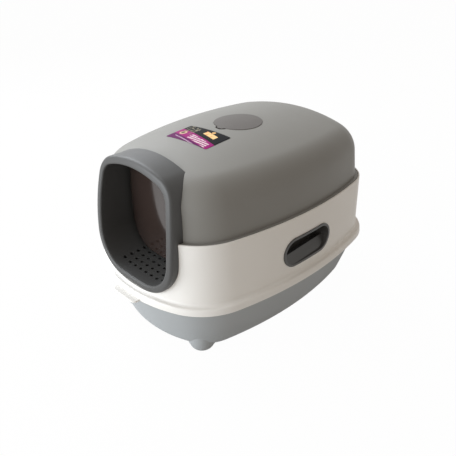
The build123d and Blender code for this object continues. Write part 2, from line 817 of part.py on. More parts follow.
with BuildPart() as sticker:
    with BuildSketch(Plane.XY.offset(ledge_z)):
        with Locations((sticker_x, sticker_y)):
            RectangleRounded(sticker_width, sticker_length, sticker_corner)
    extrude(amount=reach)
    add(crown_block(sticker_clearance + sticker_thickness), mode=Mode.INTERSECT)
    add(crown_block(sticker_clearance), mode=Mode.SUBTRACT)
sticker.part.label = "sticker"
export_step(sticker.part, "parts/sticker.step")
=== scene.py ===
import math

import bmesh
import bpy
import numpy as np
from mathutils import Matrix, Vector


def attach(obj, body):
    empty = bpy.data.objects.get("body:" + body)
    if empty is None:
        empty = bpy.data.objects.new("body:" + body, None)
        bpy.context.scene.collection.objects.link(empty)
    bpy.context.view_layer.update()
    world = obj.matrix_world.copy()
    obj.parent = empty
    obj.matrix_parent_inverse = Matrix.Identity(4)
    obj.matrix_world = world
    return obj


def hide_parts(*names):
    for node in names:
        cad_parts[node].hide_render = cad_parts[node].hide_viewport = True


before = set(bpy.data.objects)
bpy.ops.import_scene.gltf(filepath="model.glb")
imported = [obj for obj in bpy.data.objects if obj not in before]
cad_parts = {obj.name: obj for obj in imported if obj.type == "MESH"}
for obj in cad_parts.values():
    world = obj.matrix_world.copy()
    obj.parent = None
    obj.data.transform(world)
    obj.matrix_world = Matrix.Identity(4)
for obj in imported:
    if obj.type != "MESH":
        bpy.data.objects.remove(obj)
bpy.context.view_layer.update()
MM = 0.001

# ------------------------------------------------------------ litter pan
# The pan is one thin moulding of mid-grey polypropylene with a fine spark-eroded grain. Its
# sides lean out, a flat flange carries the ring, and four hollow feet are moulded into it.
PLAN_FRONT = -257.0
PLAN_FRONT_HALF = 153.3
PLAN_FRONT_BOW = 47.9
PLAN_FRONT_ROUND = 111.0
PLAN_REAR = 268.0
PLAN_REAR_HALF = 174.5
PLAN_REAR_BOW = 25.9
PLAN_REAR_ROUND = 91.0
PLAN_SIDE_BOW = 33.0
PLAN_STEP = 4.5
PAN_FLOOR = 12.0
PAN_TOP = 131.0
PAN_REACH = 8.3
PAN_LEAN = 17.6
PAN_WALL = 2.8
PAN_ROUND = 26.0
PAN_FLANGE_REACH = 10.9
PAN_FLANGE = 3.0
PAN_EDGE = 0.8
PAN_UNDER_EDGE = 1.5
PAN_FLOOR_INSET = 45.0
WALL_LINE_INSET = 150.0
FOOT_TIP = 24.5
FOOT_ROOT = 34.0
FOOT_LOW = 1.2
FOOT_HIGH = 44.2
FOOT_ROUND = 14.0
# Each foot's corner radius, its direction from the corner's centre in degrees, and its inset.
FOOT_PLACES = {"front": (PLAN_FRONT_ROUND, -52.0, 21.0), "rear": (PLAN_REAR_ROUND, 52.0, 34.0)}
ARC_STEPS_PER_RADIAN = 6
PLASTIC_IOR = 1.49
PAN_GREY = (0.345, 0.364, 0.376)


def circle_radius(half_chord, bow):
    """Radius of the arc whose middle stands bow off a chord of that half length."""
    return (half_chord**2 + bow**2) / (2 * bow)


def meeting_point(centre_a, reach_a, centre_b, reach_b, near):
    """Point at reach_a from centre_a and reach_b from centre_b, on the side of near."""
    across = centre_b - centre_a
    gap = np.hypot(*across)
    along = (reach_a**2 - reach_b**2 + gap**2) / (2 * gap)
    off = math.sqrt(reach_a**2 - along**2)
    foot = centre_a + across * along / gap
    normal = np.array([-across[1], across[0]]) / gap
    return min((foot + normal * off, foot - normal * off), key=lambda p: np.hypot(*(p - near)))


def bowed_outline(
    low, low_half, low_bow, low_round, high, high_half, high_bow, high_round, side_bow, step
):
    """Closed outline of four bowed sides and four round corners, symmetric about the vertical axis.
    Each row is the centre (two numbers), radius and normal angle of the arc at that point, so
    the outline moved out by any amount is the centre plus (radius + amount) along the normal."""
    low_corner = np.array([low_half, low + low_bow])
    high_corner = np.array([high_half, high - high_bow])
    low_radius = circle_radius(low_half, low_bow)
    high_radius = circle_radius(high_half, high_bow)
    chord = high_corner - low_corner
    length = np.hypot(*chord)
    side_radius = circle_radius(length / 2, side_bow)
    outward = np.array([chord[1], -chord[0]]) / length
    low_centre = np.array([0.0, low + low_radius])
    high_centre = np.array([0.0, high - high_radius])
    side_centre = (low_corner + high_corner) / 2 + outward * (side_bow - side_radius)
    low_ball = meeting_point(
        low_centre, low_radius - low_round, side_centre, side_radius - low_round, low_corner
    )
    high_ball = meeting_point(
        high_centre, high_radius - high_round, side_centre, side_radius - high_round, high_corner
    )
    joins = [
        (low_ball, low_centre),
        (low_ball, side_centre),
        (high_ball, side_centre),
        (high_ball, high_centre),
    ]
    turns = [math.atan2(ball[1] - centre[1], ball[0] - centre[0]) for ball, centre in joins]
    turns = [-math.pi / 2, *turns, math.pi / 2]
    centres = [low_centre, low_ball, side_centre, high_ball, high_centre]
    radii = [low_radius, low_round, side_radius, high_round, high_radius]
    rows = []
    for centre, radius, start, end in zip(centres, radii, turns[:-1], turns[1:]):
        count = max(3, math.ceil(radius * (end - start) / step))
        turn = np.linspace(start, end, count, endpoint=False)
        rows.append(np.column_stack([np.tile(centre, (count, 1)), np.full(count, radius), turn]))
    half = np.vstack(rows + [[[*high_centre, high_radius, math.pi / 2]]])
    mirrored = half[::-1] * [-1, 1, 1, -1] + [0, 0, 0, math.pi]
    return np.vstack([half[:-1], mirrored[:-1]])


def grown_loop(outline, grow):
    """Points of the outline moved out by grow: centre plus (radius + grow) along the normal."""
    reach = outline[:, 2] + grow
    turn = outline[:, 3]
    return outline[:, :2] + np.column_stack([reach * np.cos(turn), reach * np.sin(turn)])


def carried(outline, profile):
    """A profile of (grow, height) points carried round the outline: one grown loop a point."""
    heights = [np.full(len(outline), z) for _, z in profile]
    loops = [grown_loop(outline, grow) for grow, _ in profile]
    return np.stack([np.column_stack([loop, z]) for loop, z in zip(loops, heights)])


def rounded_profile(corners, closed=False):
    """Polyline through (u, v, radius) corners, each rounded by the arc that touches both runs.
    The arc's centre lies on the bisector at radius / sin(half angle) from the corner."""
    spots = np.array([corner[:2] for corner in corners], float)
    points = []
    for index, here in enumerate(spots):
        radius = corners[index][2]
        is_end = not closed and index in (0, len(spots) - 1)
        if radius == 0 or is_end:
            points.append(here)
            continue
        back = spots[index - 1] - here
        ahead = spots[(index + 1) % len(spots)] - here
        back /= np.hypot(*back)
        ahead /= np.hypot(*ahead)
        half_angle = math.acos(np.clip(back @ ahead, -1, 1)) / 2
        bisector = (back + ahead) / np.hypot(*(back + ahead))
        centre = here + bisector * radius / math.sin(half_angle)
        start = here + back * radius / math.tan(half_angle) - centre
        end = here + ahead * radius / math.tan(half_angle) - centre
        sweep = math.pi - 2 * half_angle
        for share in np.linspace(0, 1, max(3, math.ceil(sweep * ARC_STEPS_PER_RADIAN))):
            blend = start * math.sin((1 - share) * sweep) + end * math.sin(share * sweep)
            points.append(centre + blend / math.sin(sweep))
    return np.array(points)


def grid_shell(grid, wrap=False):
    """Vertices and faces of a grid of closed loops. Faces join each loop to the next. With wrap
    the last loop joins the first, otherwise the first and last loops are filled flat."""
    rows, columns = grid.shape[:2]
    here = np.arange(rows * columns).reshape(rows, columns)
    beside = np.roll(here, -1, axis=1)
    above = np.roll(here, -1, axis=0)
    above_beside = np.roll(beside, -1, axis=0)
    quads = np.stack([here, beside, above_beside, above], -1)
    quads = quads[: rows if wrap else rows - 1].reshape(-1, 4).tolist()
    if not wrap:
        quads.append(list(range(columns))[::-1])
        quads.append(list(range((rows - 1) * columns, rows * columns)))
    return grid.reshape(-1, 3), quads


def joined(*shells):
    """Several (vertices, faces) pairs as one."""
    vertices, faces, start = [], [], 0
    for points, polygons in shells:
        vertices.append(points)
        faces += [[start + corner for corner in polygon] for polygon in polygons]
        start += len(points)
    return np.vstack(vertices), faces


def new_object(name, shell):
    """A Blender object from vertices in millimetres and faces."""
    mesh = bpy.data.meshes.new(name)
    mesh.from_pydata((shell[0] * MM).tolist(), [], shell[1])
    mesh.validate()
    piece = bpy.data.objects.new(name, mesh)
    bpy.context.scene.collection.objects.link(piece)
    return piece


def smooth(piece, sharp_angle=32.0):
    """Smooth shading with the edges sharper than the angle kept crisp."""
    piece.data.polygons.foreach_set("use_smooth", [True] * len(piece.data.polygons))
    piece.data.set_sharp_from_angle(angle=math.radians(sharp_angle))


def dress(piece, body, slot, material, *nodes):
    """Gives the piece its material and ride, and hides the nodes it stands for."""
    piece.data.materials.clear()
    piece.data.materials.append(material)
    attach(piece, body)
    if nodes:
        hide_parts(*nodes)


def blank_finish(name):
    """A new material with its nodes, its links and its shader."""
    material = bpy.data.materials.new(name)
    material.use_nodes = True
    nodes = material.node_tree.nodes
    return material, nodes, material.node_tree.links, nodes["Principled BSDF"]


def layer(nodes, kind, values, **choices):
    """A node of the finish: its choices, such as an operation, then the values of its inputs."""
    node = nodes.new("ShaderNode" + kind)
    for choice, value in choices.items():
        setattr(node, choice, value)
    for socket, value in values.items():
        node.inputs[socket].default_value = value
    return node


def tint_layer(nodes, blend, values):
    """A node that mixes two colours in the way that blend says."""
    return layer(nodes, "Mix", values, data_type="RGBA", blend_type=blend)


def moulded_plastic(name, colour, rough, grain, mottle=0.05):
    """Moulded plastic: a fine eroded grain and slower flow marks in the bump, and a faint change
    of tone and of gloss over a hand's width."""
    material, nodes, links, shader = blank_finish(name)
    place = nodes.new("ShaderNodeTexCoord")
    tone = layer(nodes, "TexNoise", {"Scale": 7.0, "Detail": 3.0})
    shade = layer(nodes, "MapRange", {"To Min": 1.0 - mottle, "To Max": 1.0 + mottle})
    tint = tint_layer(nodes, "MULTIPLY", {"Factor": 1.0, "A": (*colour, 1.0)})
    gloss = layer(nodes, "TexNoise", {"Scale": 23.0, "Detail": 4.0})
    gloss_range = layer(nodes, "MapRange", {"To Min": rough - 0.05, "To Max": rough + 0.05})
    fine = layer(nodes, "TexNoise", {"Scale": 1500.0, "Detail": 2.0})
    flow = layer(nodes, "TexNoise", {"Scale": 34.0, "Detail": 1.0})
    flow_bump = layer(nodes, "Bump", {"Strength": 0.05, "Distance": 0.002})
    grain_bump = layer(nodes, "Bump", {"Strength": grain, "Distance": 0.00015})
    for texture in (tone, gloss, fine, flow):
        links.new(place.outputs["Object"], texture.inputs["Vector"])
    links.new(tone.outputs["Fac"], shade.inputs["Value"])
    links.new(shade.outputs["Result"], tint.inputs["B"])
    links.new(tint.outputs["Result"], shader.inputs["Base Color"])
    links.new(gloss.outputs["Fac"], gloss_range.inputs["Value"])
    links.new(gloss_range.outputs["Result"], shader.inputs["Roughness"])
    links.new(flow.outputs["Fac"], flow_bump.inputs["Height"])
    links.new(fine.outputs["Fac"], grain_bump.inputs["Height"])
    links.new(flow_bump.outputs["Normal"], grain_bump.inputs["Normal"])
    links.new(grain_bump.outputs["Normal"], shader.inputs["Normal"])
    shader.inputs["IOR"].default_value = PLASTIC_IOR
    return material


def foot_shell(side, place):
    """Oblique cone: its radius grows from tip to root, and its centre moves inwards by the same
    amount, so the outer side stays upright. The tip's edge is a quarter circle. Above, the cone
    is held under the middle of the pan's wall, and its top closes along that wall."""
    radius, turn, inset = FOOT_PLACES[place]
    centre = plan[np.isclose(plan[:, 2], radius) & (plan[:, 0] > 0)][0, :2]
    inward = np.array([math.cos(math.radians(turn)), math.sin(math.radians(turn))])
    quarter = np.linspace(0, np.pi / 2, 9)
    count = len(quarter)
    share = np.concatenate([np.zeros(count), np.linspace(0, 1, 20)[1:], np.ones(count)])
    cone = FOOT_TIP + (FOOT_ROOT - FOOT_TIP) * share
    lift = FOOT_LOW + (FOOT_HIGH - FOOT_LOW) * share
    lift[:count] += FOOT_ROUND * (1 - np.cos(quarter))
    lift = np.maximum.accumulate(lift)
    width = cone.copy()
    width[:count] -= FOOT_ROUND * (1 - np.sin(quarter))
    width[-count:] *= np.linspace(0.96, 0.02, count)
    reach = radius - inset - cone
    angle = np.linspace(0, 2 * np.pi, 64, endpoint=False)
    x = reach[:, None] * inward[0] + width[:, None] * np.cos(angle)
    y = reach[:, None] * inward[1] + width[:, None] * np.sin(angle)
    ceiling = np.interp(np.hypot(x, y) - radius, wall_middle[:, 0], wall_middle[:, 1])
    z = np.minimum(lift[:, None], ceiling)
    grid = np.stack([side * (centre[0] + x), centre[1] + y, z], -1)
    return grid_shell(grid if side > 0 else grid[:, ::-1])


plan = bowed_outline(
    PLAN_FRONT, PLAN_FRONT_HALF, PLAN_FRONT_BOW, PLAN_FRONT_ROUND,
    PLAN_REAR, PLAN_REAR_HALF, PLAN_REAR_BOW, PLAN_REAR_ROUND,
    PLAN_SIDE_BOW, PLAN_STEP,
)
lean = math.tan(math.radians(PAN_LEAN))
wall_step = PAN_WALL / math.cos(math.radians(PAN_LEAN))
floor_grow = PAN_REACH - (PAN_TOP - PAN_FLOOR) * lean
inner_floor_grow = floor_grow - wall_step + PAN_WALL * lean
flange_low = PAN_TOP - PAN_FLANGE
pan_profile = rounded_profile(
    [
        (floor_grow - PAN_FLOOR_INSET, PAN_FLOOR, 0),
        (floor_grow, PAN_FLOOR, PAN_ROUND),
        (PAN_REACH - PAN_FLANGE * lean, flange_low, PAN_UNDER_EDGE),
        (PAN_FLANGE_REACH, flange_low, PAN_EDGE),
        (PAN_FLANGE_REACH, PAN_TOP, PAN_EDGE),
        (PAN_REACH - wall_step, PAN_TOP, PAN_EDGE),
        (inner_floor_grow, PAN_FLOOR + PAN_WALL, PAN_ROUND - PAN_WALL),
        (inner_floor_grow - PAN_FLOOR_INSET, PAN_FLOOR + PAN_WALL, 0),
    ]
)
wall_middle = rounded_profile(
    [
        (floor_grow - WALL_LINE_INSET, PAN_FLOOR + PAN_WALL / 2, 0),
        (floor_grow - wall_step / 2, PAN_FLOOR + PAN_WALL / 2, PAN_ROUND - PAN_WALL / 2),
        (PAN_REACH - wall_step / 2, PAN_TOP, 0),
    ]
)
feet = [foot_shell(side, place) for place in FOOT_PLACES for side in (-1, 1)]
pan_plastic = moulded_plastic("pan_plastic", PAN_GREY, rough=0.65, grain=0.35)
pan_shell = new_object("pan_shell", joined(grid_shell(carried(plan, pan_profile)), *feet))
smooth(pan_shell)
dress(pan_shell, "pan", "pan_plastic", pan_plastic, "pan")

# ------------------------------------------------------------ rubber pads
# Four round pads of black rubber pushed into the feet, so that the box doesn't slide.
PAD_BLACK = (0.022, 0.022, 0.022)
WELD_REACH = 0.01
BEVEL_FROM = 40.0
SHARP_FROM = 30.0


def weld_and_smooth(node, bevel=0.0):
    """Joins a node's loose triangles, rounds its edges a little and shades it smooth."""
    weld = node.modifiers.new("weld", "WELD")
    weld.merge_threshold = WELD_REACH * MM
    if bevel:
        edge = node.modifiers.new("edge", "BEVEL")
        edge.width = bevel * MM
        edge.segments = 2
        edge.limit_method = "ANGLE"
        edge.angle_limit = math.radians(BEVEL_FROM)
        edge.harden_normals = False
    node.data.polygons.foreach_set("use_smooth", [True] * len(node.data.polygons))
    split = node.modifiers.new("split", "EDGE_SPLIT")
    split.split_angle = math.radians(SHARP_FROM)


def finish_node(name, material, bevel=0.0):
    """A node that keeps its own shape: welded, smooth and in its material."""
    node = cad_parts[name]
    node.data.materials.clear()
    node.data.materials.append(material)
    weld_and_smooth(node, bevel)


pad_rubber = moulded_plastic("pad_rubber", PAD_BLACK, rough=0.75, grain=0.6)
for corner in ("front_left", "front_right", "rear_left", "rear_right"):
    finish_node("foot_pad_" + corner, pad_rubber)

# ------------------------------------------------------------ ring
# The white ring snaps over the pan's flange with a rounded skirt, and its top edge holds the
# hood on an inner ledge. It is one polypropylene moulding with a finger tab at the front.
RIM_Z = 122.0
RING_TOP = 256.0
RIM_REACH = 16.0
RING_DRAFT = 4.0
SKIRT_TOP = 136.0
SKIRT_LEAN = 8.0
SKIRT_WALL = 3.4
RING_WALL = 3.0
LEDGE_Z = 252.6
LEDGE_THICK = 3.0
LEDGE_DRAFT = 0.19
LEDGE_INNER = 17.0
HEM_LOW = 241.6
HEM_WALL = 2.5
TAB_HALF = 34.0
TAB_REACH = 11.0
TAB_THICK = 4.0
TAB_ROUND = 10.0
TAB_ROOT = 12.0
TAB_SPREAD = 30.0
RING_WHITE = (0.78, 0.77, 0.745)
COLLAR_LOW = 140.4
COLLAR_LOW_HALF = 100.0
COLLAR_LOW_BOW = 0.6
COLLAR_LOW_ROUND = 75.4
COLLAR_HIGH = 372.9
COLLAR_HIGH_HALF = 95.8
COLLAR_HIGH_BOW = 23.3
COLLAR_HIGH_ROUND = 45.0
COLLAR_SIDE_BOW = 10.7
COLLAR_STEP = 3.0
COLLAR_END = -182.2
COLLAR_GAP = 0.3
CUT_FROM = -300.0
SCREW_X = 114.8
SCREW_HEIGHTS = (172.0, 228.6)
BOSS_RADIUS = 4.5
BOSS_END = -217.7
GRIP_Y = 7.5
GRIP_Z = 185.0
GRIP_MOUTH = (123.5, 50.0)
GRIP_SKIN = 2.4
GRIP_CUT = (150.0, 240.0)


def prism(loop, start, end, axis):
    """A closed loop of points carried straight along one axis, closed at both ends."""
    order = {"x": (2, 0, 1), "y": (1, 2, 0), "z": (0, 1, 2)}[axis]
    flat = [np.column_stack([loop, np.full(len(loop), at)]) for at in (start, end)]
    return grid_shell(np.stack(flat)[:, :, order])


def circle(centre, radius, count=32):
    """Points of a circle."""
    angle = np.linspace(0, 2 * np.pi, count, endpoint=False)
    return np.column_stack([centre[0] + radius * np.cos(angle), centre[1] + radius * np.sin(angle)])


def stadium(centre, length, height, count=48):
    """A circle pulled apart along its first axis, so that it has two straight sides."""
    loop = circle((0, 0), height / 2, count)
    loop[:, 0] += np.where(loop[:, 0] >= 0, 1, -1) * (length - height) / 2
    return loop + np.array(centre)


def with_turned_faces(piece):
    """Recalculates the faces so that they point outwards."""
    work = bmesh.new()
    work.from_mesh(piece.data)
    bmesh.ops.recalc_face_normals(work, faces=work.faces)
    work.to_mesh(piece.data)
    work.free()
    return piece


def carve(piece, *shells):
    """Cuts closed shells out of the piece for good."""
    for shell in shells:
        cutter = with_turned_faces(new_object("cutter", shell))
        cut = piece.modifiers.new("cut", "BOOLEAN")
        cut.operation = "DIFFERENCE"
        cut.solver = "EXACT"
        cut.object = cutter
        bpy.context.view_layer.update()
        result = piece.evaluated_get(bpy.context.evaluated_depsgraph_get())
        carved = bpy.data.meshes.new_from_object(result)
        piece.modifiers.clear()
        piece.data = carved
        bpy.data.objects.remove(cutter)


skirt_lean = math.tan(math.radians(SKIRT_LEAN))
wall_lean = RING_DRAFT / (RING_TOP - RIM_Z)
rim_inner = RIM_REACH - SKIRT_WALL
ring_profile = rounded_profile(
    [
        (rim_inner, RIM_Z, 0.8),
        (RIM_REACH, RIM_Z, 1.6),
        (RIM_REACH - (SKIRT_TOP - RIM_Z) * skirt_lean, SKIRT_TOP, 4.0),
        (RING_DRAFT - (SKIRT_TOP - RIM_Z) * wall_lean, SKIRT_TOP, 6.0),
        (0.0, RING_TOP, 2.2),
        (-RING_WALL, RING_TOP, 0.8),
        (-RING_WALL, LEDGE_Z, 0.5),
        (-LEDGE_INNER, LEDGE_Z, 0.8),
        (-LEDGE_INNER, HEM_LOW, 0.6),
        (HEM_WALL - LEDGE_INNER, HEM_LOW, 0.6),
        (HEM_WALL - LEDGE_INNER, LEDGE_Z - LEDGE_THICK, 0.5),
        (LEDGE_DRAFT - RING_WALL, LEDGE_Z - LEDGE_THICK, 1.0),
        (RING_DRAFT - RING_WALL - (PAN_TOP - RIM_Z) * wall_lean, PAN_TOP, 0.5),
        (rim_inner - (PAN_TOP - RIM_Z) * skirt_lean, PAN_TOP, 0.6),
    ],
    closed=True,
)


def tab_shell():
    """The tab: a rounded rectangle in plan, carried up with softly rounded edges. A loop is
    drawn in by shrinking it about its middle, from which its edge lies about 30 mm away."""
    tip = PLAN_FRONT - RIM_REACH - TAB_REACH
    root = tip + (TAB_REACH + TAB_ROOT)
    count = 48
    right = circle((TAB_HALF - TAB_ROUND, tip + TAB_ROUND), TAB_ROUND, count)
    left = circle((TAB_ROUND - TAB_HALF, tip + TAB_ROUND), TAB_ROUND, count)
    outline = np.vstack([
        right[count * 3 // 4 :],
        [[TAB_HALF, root], [-TAB_HALF, root]],
        left[count // 2 : count * 3 // 4 + 1],
    ])
    away = outline - outline.mean(0)
    top = RIM_Z + TAB_THICK
    soft = rounded_profile([(0.8, RIM_Z, 0), (0, RIM_Z, 1.2), (0, top, 1.6), (3.0, top, 0)])
    heights = [np.full(len(outline), z) for _, z in soft]
    loops = [outline - away * inset / TAB_SPREAD for inset, _ in soft]
    return grid_shell(np.stack([np.column_stack([loop, z]) for loop, z in zip(loops, heights)]))


def boss_shell(x, z):
    """Screw boss: a round post whose front end follows the middle of the ring's curved wall."""
    foot = circle((x, z), BOSS_RADIUS)
    wall = grown_loop(plan, (RING_DRAFT - RING_WALL) / 2)
    front = wall[wall[:, 1] < 0]
    front = front[np.argsort(front[:, 0])]
    ends = (np.full(len(foot), BOSS_END), np.interp(foot[:, 0], front[:, 0], front[:, 1]))
    return grid_shell(np.stack([np.column_stack([foot[:, 0], y, foot[:, 1]]) for y in ends]))


def taken_apart(piece):
    """The piece's vertices in millimetres and its faces. The piece itself goes."""
    points = np.empty(len(piece.data.vertices) * 3)
    piece.data.vertices.foreach_get("co", points)
    faces = [list(face.vertices) for face in piece.data.polygons]
    bpy.data.objects.remove(piece)
    return points.reshape(-1, 3) / MM, faces


bosses = [boss_shell(side * SCREW_X, z) for side in (-1, 1) for z in SCREW_HEIGHTS]
collar_line = bowed_outline(
    COLLAR_LOW, COLLAR_LOW_HALF, COLLAR_LOW_BOW, COLLAR_LOW_ROUND,
    COLLAR_HIGH, COLLAR_HIGH_HALF, COLLAR_HIGH_BOW, COLLAR_HIGH_ROUND,
    COLLAR_SIDE_BOW, COLLAR_STEP,
)
ring_shell = new_object("ring_shell", grid_shell(carried(plan, ring_profile), wrap=True))
opening = grown_loop(collar_line, COLLAR_GAP)[:, ::-1]
grip_cut = stadium((GRIP_Y, GRIP_Z), GRIP_MOUTH[0] + 2 * GRIP_SKIN, GRIP_MOUTH[1] + 2 * GRIP_SKIN)
carve(
    ring_shell,
    prism(opening, CUT_FROM, COLLAR_END, "y"),
    prism(grip_cut, GRIP_CUT[0], GRIP_CUT[1], "x"),
    prism(grip_cut, -GRIP_CUT[1], -GRIP_CUT[0], "x"),
)
extras = with_turned_faces(new_object("ring_extras", joined(tab_shell(), *bosses)))
ring_shell = new_object("ring_shell", joined(taken_apart(ring_shell), taken_apart(extras)))
smooth(ring_shell)
ring_plastic = moulded_plastic("ring_plastic", RING_WHITE, rough=0.42, grain=0.2, mottle=0.015)
dress(ring_shell, "ring", "ring_plastic", ring_plastic, "ring")

# ------------------------------------------------------------ side grips
# Charcoal cups pushed into the ring from outside. Their thin rim lies on the white wall, and
# inside a ramp rises from the mouth to a low crest, over which four fingers reach in.
GRIP_CHARCOAL = (0.048, 0.046, 0.042)
grip_plastic = moulded_plastic("grip_plastic", GRIP_CHARCOAL, rough=0.42, grain=0.3)
for side in ("left", "right"):
    finish_node("handle_" + side, grip_plastic, bevel=0.5)

# ------------------------------------------------------------ entry collar
# One dark-grey moulding: a rounded front face that leans back, an outer skirt that meets the
# hood and the ring, and a tunnel whose floor is a grid of holes that litter drops through.
COLLAR_FACE_Y = -254.3
COLLAR_MID_Z = (COLLAR_LOW + COLLAR_HIGH) / 2
COLLAR_LEAN = math.radians(7.4)
COLLAR_BALL = 830.0
COLLAR_WIDTH = 14.2
COLLAR_SKIN = 2.5
FACE_DEPTH = 12.0
TUNNEL_END = -175.7
COLLAR_GREY = (0.055, 0.055, 0.054)
DRIP_RADIUS = 3.4
DRIP_PITCH = (16.1, 15.4)
DRIP_COUNT = (8, 4)
DRIP_REAR = -186.8
DRIP_CUT = (150.0, 190.0)
DRAIN_HALF = 80.0
DRAIN_FRONT = -237.2
DRAIN_CUT = (137.9, 149.9)
EAR_X = 57.6
EAR_THICK = 6.0
EAR_RADIUS = 6.0
EAR_TOP = 10.5
HINGE_Z = 341.0
FLAP_Y = -183.2


def collar_rows(profile):
    """Profile points (grow, depth, place) round the collar's outline. With place 0 the depth
    counts back from the face, which is part of a ball: y is the ball's middle less the root of
    its radius squared less x and z squared. With place 1 it is a position along Y."""
    middle_y = COLLAR_FACE_Y + COLLAR_BALL * math.cos(COLLAR_LEAN)
    middle_z = COLLAR_MID_Z - COLLAR_BALL * math.sin(COLLAR_LEAN)
    loops = []
    for grow, depth, place in profile:
        loop = grown_loop(collar_line, grow)
        across = loop[:, 0] ** 2 + (loop[:, 1] - middle_z) ** 2
        face = middle_y - np.sqrt((COLLAR_BALL - depth * (1 - place)) ** 2 - across)
        y = depth * place + face * (1 - place)
        loops.append(np.column_stack([loop[:, 0], y, loop[:, 1]]))
    return np.stack(loops)


def rectangle(half, low, high):
    """Corners of a rectangle that reaches half to either side, from low to high."""
    return np.array([[-half, low], [half, low], [half, high], [-half, high]])


def drip_hole(column, row):
    """One round hole of the grid, as a rod that goes through the tunnel's floor."""
    x = (column - (DRIP_COUNT[0] - 1) / 2) * DRIP_PITCH[0]
    y = DRIP_REAR - row * DRIP_PITCH[1]
    return prism(circle((x, y), DRIP_RADIUS, 28), *DRIP_CUT, "z")


def ear_shell(x):
    """Hinge ear: a round eye with a neck that runs up into the tunnel's roof. Its upper half is
    stretched to three times its height and cut level."""
    eye = circle((0, 0), EAR_RADIUS, 40)
    eye[:, 1] = np.where(eye[:, 1] > 0, np.minimum(eye[:, 1] * 3, EAR_TOP), eye[:, 1])
    loop = eye + [FLAP_Y, HINGE_Z]
    return prism(loop, x - EAR_THICK / 2, x + EAR_THICK / 2, "x")


face_profile = rounded_profile(
    [
        (0.0, FACE_DEPTH, 0),
        (0.0, 0.0, 5.0),
        (-COLLAR_WIDTH, 0.0, 4.0),
        (-COLLAR_WIDTH, FACE_DEPTH, 0),
    ]
)
tunnel_out = COLLAR_SKIN - COLLAR_WIDTH
collar_profile = (
    [(0.0, COLLAR_END, 1)]
    + [(grow, depth, 0) for grow, depth in face_profile]
    + [(-COLLAR_WIDTH, TUNNEL_END, 1), (tunnel_out, TUNNEL_END, 1), (tunnel_out, COLLAR_SKIN, 0)]
    + [(-COLLAR_SKIN, COLLAR_SKIN, 0), (-COLLAR_SKIN, COLLAR_END, 1)]
)
collar_shell = new_object("collar_shell", grid_shell(collar_rows(collar_profile), wrap=True))
with_turned_faces(collar_shell)
holes = [drip_hole(column, row) for column in range(DRIP_COUNT[0]) for row in range(DRIP_COUNT[1])]
drain = prism(rectangle(DRAIN_HALF, DRAIN_FRONT, COLLAR_END), *DRAIN_CUT, "z")
carve(collar_shell, drain, joined(*holes))
ears = with_turned_faces(new_object("hinge_ears", joined(ear_shell(-EAR_X), ear_shell(EAR_X))))
smooth(ears)
smooth(collar_shell)
collar_plastic = moulded_plastic("collar_plastic", COLLAR_GREY, rough=0.46, grain=0.25)
dress(collar_shell, "ring", "collar_plastic", collar_plastic, "collar")
dress(ears, "ring", "collar_plastic", collar_plastic, "collar")

# ------------------------------------------------------------ screws, rod and caps
# Four small cross-head screws hold the collar, and a drawn steel rod with two pushed-on caps
# carries the flap.
STEEL = (0.55, 0.55, 0.54)


def drawn_steel():
    """Bright steel with fine drawing lines along its length, which change its gloss."""
    material, nodes, links, shader = blank_finish("drawn_steel")
    shader.inputs["Base Color"].default_value = (*STEEL, 1.0)
    shader.inputs["Metallic"].default_value = 1.0
    place = nodes.new("ShaderNodeTexCoord")
    stretch = layer(nodes, "Mapping", {"Scale": (8.0, 900.0, 900.0)})
    lines = layer(nodes, "TexNoise", {"Scale": 1.0})
    rough = layer(nodes, "MapRange", {"To Min": 0.18, "To Max": 0.42})
    links.new(place.outputs["Object"], stretch.inputs["Vector"])
    links.new(stretch.outputs["Vector"], lines.inputs["Vector"])
    links.new(lines.outputs["Fac"], rough.inputs["Value"])
    links.new(rough.outputs["Result"], shader.inputs["Roughness"])
    return material


steel = drawn_steel()
finish_node("collar_screws", steel)
finish_node("flap_rod", steel)
for side in ("left", "right"):
    finish_node("rod_cap_" + side, grip_plastic, bevel=0.3)

# ------------------------------------------------------------ flap
# A polished sheet of brown smoke-tinted plastic, bowed forward, that swings on a barrel
# moulded along its top edge.
FLAP_GAP = 6.5
FLAP_THICK = 2.6
FLAP_BOW = 2.5
BARREL_RADIUS = 4.6
BARREL_HALF = 54.0
CORNER_CUT = 333.0
FLAP_MIDDLE = 256.0
EDGE_SHARE = 0.012
FLAP_BROWN = (0.036, 0.023, 0.019)


def flap_loop():
    """The tunnel's outline drawn in, cut straight at the hinge with a step for each ear."""
    outline = grown_loop(collar_line, -COLLAR_WIDTH - FLAP_GAP)
    low = outline[outline[:, 1] < CORNER_CUT]
    right = low[low[:, 0] >= 0]
    left = low[low[:, 0] < 0]
    half = right[-1, 0]
    top = np.array([
        [half, CORNER_CUT], [BARREL_HALF, CORNER_CUT], [BARREL_HALF, HINGE_Z],
        [-BARREL_HALF, HINGE_Z], [-BARREL_HALF, CORNER_CUT], [-half, CORNER_CUT],
    ])
    return np.vstack([right, top, left])


